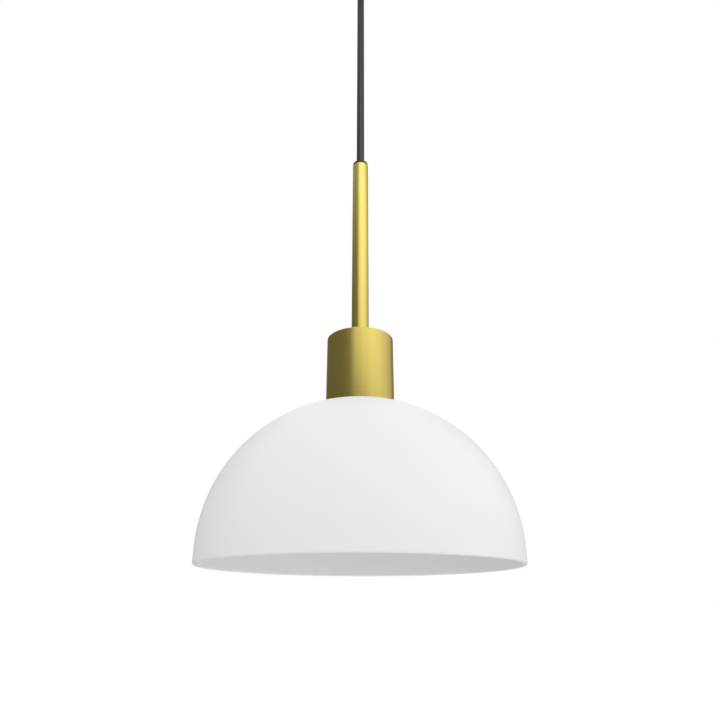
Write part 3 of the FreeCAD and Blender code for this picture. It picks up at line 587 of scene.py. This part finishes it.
def make_gland():
    """The bush on the stem's top, with a flared mouth that lets the cable lean."""
    low, high, shoulder = gland_low.z, gland_high.z, stem_high.z
    flange_r = gland_high.x
    room_top = high - GLAND_FLARE
    room_end = room_top - SWING_R
    points = outline([
        (GLAND_BORE_R, low, 0), (GLAND_SPIGOT_R, low, 0.3 * MM), (GLAND_SPIGOT_R, shoulder, 0),
        (flange_r, shoulder, 0.1 * MM), (flange_r, high, GLAND_ROUND), (GLAND_MOUTH_R, high, 0.4 * MM),
        (SWING_R, room_top, 0.5 * MM), (SWING_R, room_end, 0), (GLAND_BORE_R, room_end, 0),
    ])
    finish_piece(lathe("end_bush", points, 96), "pendant", "black_plastic", "stem_gland")


# ---------------------------------------------------------------- canopy's thumb screws
def make_thumb_screws():
    """Two brass thumb screws with diamond knurled heads."""
    level = (screw_low.z + screw_high.z) / 2
    near = screw_high.x - SIDE_HEAD_T
    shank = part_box("mounting_bracket")[1].x + 0.05 * MM - near
    axis_r = 0.02 * MM

    def saw(value):
        return abs(2 * (value % 1) - 1)

    def knurl(angle, radius, z):
        if radius < SIDE_HEAD_R - 0.02 * MM:
            return radius
        turns = angle / TURN * KNURL_AROUND
        diamond = min(saw(turns + z / KNURL_ALONG), saw(turns - z / KNURL_ALONG))
        return radius - KNURL_DEPTH * (1 - diamond)

    face_r, dish_r, dish = SIDE_HEAD_R - 1.6 * MM, SIDE_HEAD_R - 1.9 * MM, SIDE_HEAD_T - SIDE_DISH
    points = [(axis_r, shank), (SIDE_SHANK_R - 0.4 * MM, shank), (SIDE_SHANK_R, shank + 0.4 * MM),
              (SIDE_SHANK_R, -0.01 * MM), (SIDE_HEAD_R - SIDE_CHAMFER, 0.0)]
    points += [(SIDE_HEAD_R, z) for z in spaced(SIDE_CHAMFER, SIDE_HEAD_T - SIDE_CHAMFER, KNURL_ALONG / 10)]
    points += [(SIDE_HEAD_R - SIDE_CHAMFER, SIDE_HEAD_T), (face_r, SIDE_HEAD_T),
               (dish_r, dish), (axis_r, dish)]
    for name, side in (("thumb_screw_left", -1), ("thumb_screw_right", 1)):
        screw = shaped_lathe(name, points, knurl, KNURL_AROUND * 8, sharp=35)
        turn = Matrix.Rotation(math.radians(90 * side), 4, "Y")
        screw.data.transform(Matrix.Translation((side * near, 0.0, level)) @ turn)
        nodes = ["canopy_side_screws"] if side == 1 else []
        finish_piece(screw, "canopy", "brushed_brass", *nodes)


# ---------------------------------------------------------------- CAD nodes that stay
def dress_nodes():
    """Gives every CAD node the node material of its slot."""
    slots = {part["node"]: part["material_slot"] for part in frame["record"]["subparts"]}
    for name, node in frame["nodes"].items():
        material = MATERIALS[slots[name]]
        if not node.material_slots:
            node.data.materials.append(material)
        for slot in node.material_slots:
            slot.material = material


# ---------------------------------------------------------------- floor, world and lights
def make_floor():
    """A pale floor that glows a little, and neither shades nor lights the lamp."""
    mesh = bpy.data.meshes.new("floor")
    corners = [(x * FLOOR_HALF, y * FLOOR_HALF, FLOOR_Z) for x, y in ((-1, -1), (1, -1), (1, 1), (-1, 1))]
    mesh.from_pydata(corners, [], [(0, 1, 2, 3)])
    floor = new_object("floor", mesh)
    shader = Shader("floor", Base_Color=(0.9, 0.9, 0.9, 1), Roughness=0.9, Emission_Color=(1, 1, 1, 1),
                    Emission_Strength=0.4)
    mesh.materials.append(shader.material)
    floor.visible_diffuse = False
    floor.visible_glossy = False
    floor.visible_shadow = False


class WorldNodes:
    """The studio's world: plain white to the camera, and its own level for each other kind of ray."""

    def __init__(self):
        world = bpy.data.worlds.new("studio")
        bpy.context.scene.world = world
        world.use_nodes = True
        self.tree = world.node_tree
        self.tree.nodes.clear()
        self.direction = self.tree.nodes.new("ShaderNodeTexCoord").outputs["Generated"]
        self.path = self.tree.nodes.new("ShaderNodeLightPath")

    def slope(self, across, along, up):
        """The direction's part along a vector."""
        dot = self.tree.nodes.new("ShaderNodeVectorMath")
        dot.operation = "DOT_PRODUCT"
        dot.inputs[1].default_value = (across, along, up)
        self.tree.links.new(self.direction, dot.inputs[0])
        return dot.outputs["Value"]

    def level(self, value, low, high, dark, bright, easing="SMOOTHSTEP"):
        """A background that goes from dark to bright as the value goes from low to high."""
        ramp = self.tree.nodes.new("ShaderNodeMapRange")
        ramp.interpolation_type = easing
        self.tree.links.new(value, ramp.inputs["Value"])
        for key, number in (("From Min", low), ("From Max", high), ("To Min", dark), ("To Max", bright)):
            ramp.inputs[key].default_value = number
        background = self.tree.nodes.new("ShaderNodeBackground")
        self.tree.links.new(ramp.outputs[0], background.inputs["Strength"])
        return background.outputs[0]

    def choose(self, ray, otherwise, when):
        """One background for a kind of ray, and another one for every other ray."""
        mix = self.tree.nodes.new("ShaderNodeMixShader")
        self.tree.links.new(self.path.outputs[ray], mix.inputs["Fac"])
        self.tree.links.new(otherwise, mix.inputs[1])
        self.tree.links.new(when, mix.inputs[2])
        return mix.outputs[0]


def make_world():
    """White behind the lamp, a soft slope of light from the upper right, and a darker room in the metal."""
    nodes = WorldNodes()
    white = nodes.tree.nodes.new("ShaderNodeBackground")
    white.inputs["Color"].default_value = (1.0, 1.0, 1.0, 1.0)
    steep = LIGHT_SLOPE.length
    uphill = nodes.slope(*LIGHT_SLOPE.normalized())
    soft = nodes.level(uphill, -1, 1, LIGHT_LEVEL - steep, LIGHT_LEVEL + steep, "LINEAR")
    room = nodes.level(nodes.slope(0, 0, 1), ROOM_START, ROOM_END, ROOM_DARK, ROOM_TOP)
    chosen = nodes.choose("Is Diffuse Ray", nodes.choose("Is Glossy Ray", white.outputs[0], room), soft)
    out = nodes.tree.nodes.new("ShaderNodeOutputWorld")
    nodes.tree.links.new(chosen, out.inputs["Surface"])


def softbox(name, azimuth, elevation, width, height, level):
    """A rectangular area light aimed at the stem, seen only in shine.

    Azimuth 0 is the camera's side and 90 is to its right. Width and height are half angles.
    """
    a, e = math.radians(azimuth), math.radians(elevation)
    target = Vector((0.0, 0.0, (RIM + stem_high.z) / 2))
    away = Vector((math.sin(a) * math.cos(e), -math.cos(a) * math.cos(e), math.sin(e)))
    data = bpy.data.lights.new(name, "AREA")
    data.shape = "RECTANGLE"
    data.size = 2 * SOFTBOX_DISTANCE * math.tan(math.radians(width))
    data.size_y = 2 * SOFTBOX_DISTANCE * math.tan(math.radians(height))
    data.energy = level * math.pi * data.size * data.size_y
    light = new_object(name, data)
    light.location = target + away * SOFTBOX_DISTANCE
    light.rotation_euler = away.to_track_quat("Z", "Y").to_euler()
    light.visible_diffuse = False


def make_fill():
    """A small disc of light under the shade, which lifts its inside a little."""
    data = bpy.data.lights.new("under_fill", "AREA")
    data.shape = "DISK"
    data.size = 2 * FILL_R
    data.energy = FILL_LEVEL * math.pi * math.pi * FILL_R ** 2
    light = new_object("under_fill", data)
    light.location = (0.0, 0.0, RIM - FILL_DROP)
    light.rotation_euler = (math.pi, 0.0, 0.0)
    light.visible_camera = False
    light.visible_glossy = False


def make_lights():
    """A curved bank of softboxes round the camera's right side, one softbox behind, and the fill."""
    for k, (elevation, level) in enumerate(BANK):
        azimuth = BANK_START + BANK_STEP * k
        softbox("bank_%d" % (k + 1), azimuth, elevation, BANK_HALF_WIDTH, HALF_HEIGHT, level)
    softbox("rear_softbox", REAR_AZIMUTH, REAR_ELEVATION, REAR_HALF_WIDTH, HALF_HEIGHT, REAR_LEVEL)
    make_fill()


bpy.context.scene.view_settings.view_transform = "Standard"
make_camera()
make_cable()
make_glass()
make_ring()
make_sleeve()
make_spring()
make_cup()
make_stem()
make_gland()
make_thumb_screws()
dress_nodes()
make_floor()
make_world()
make_lights()
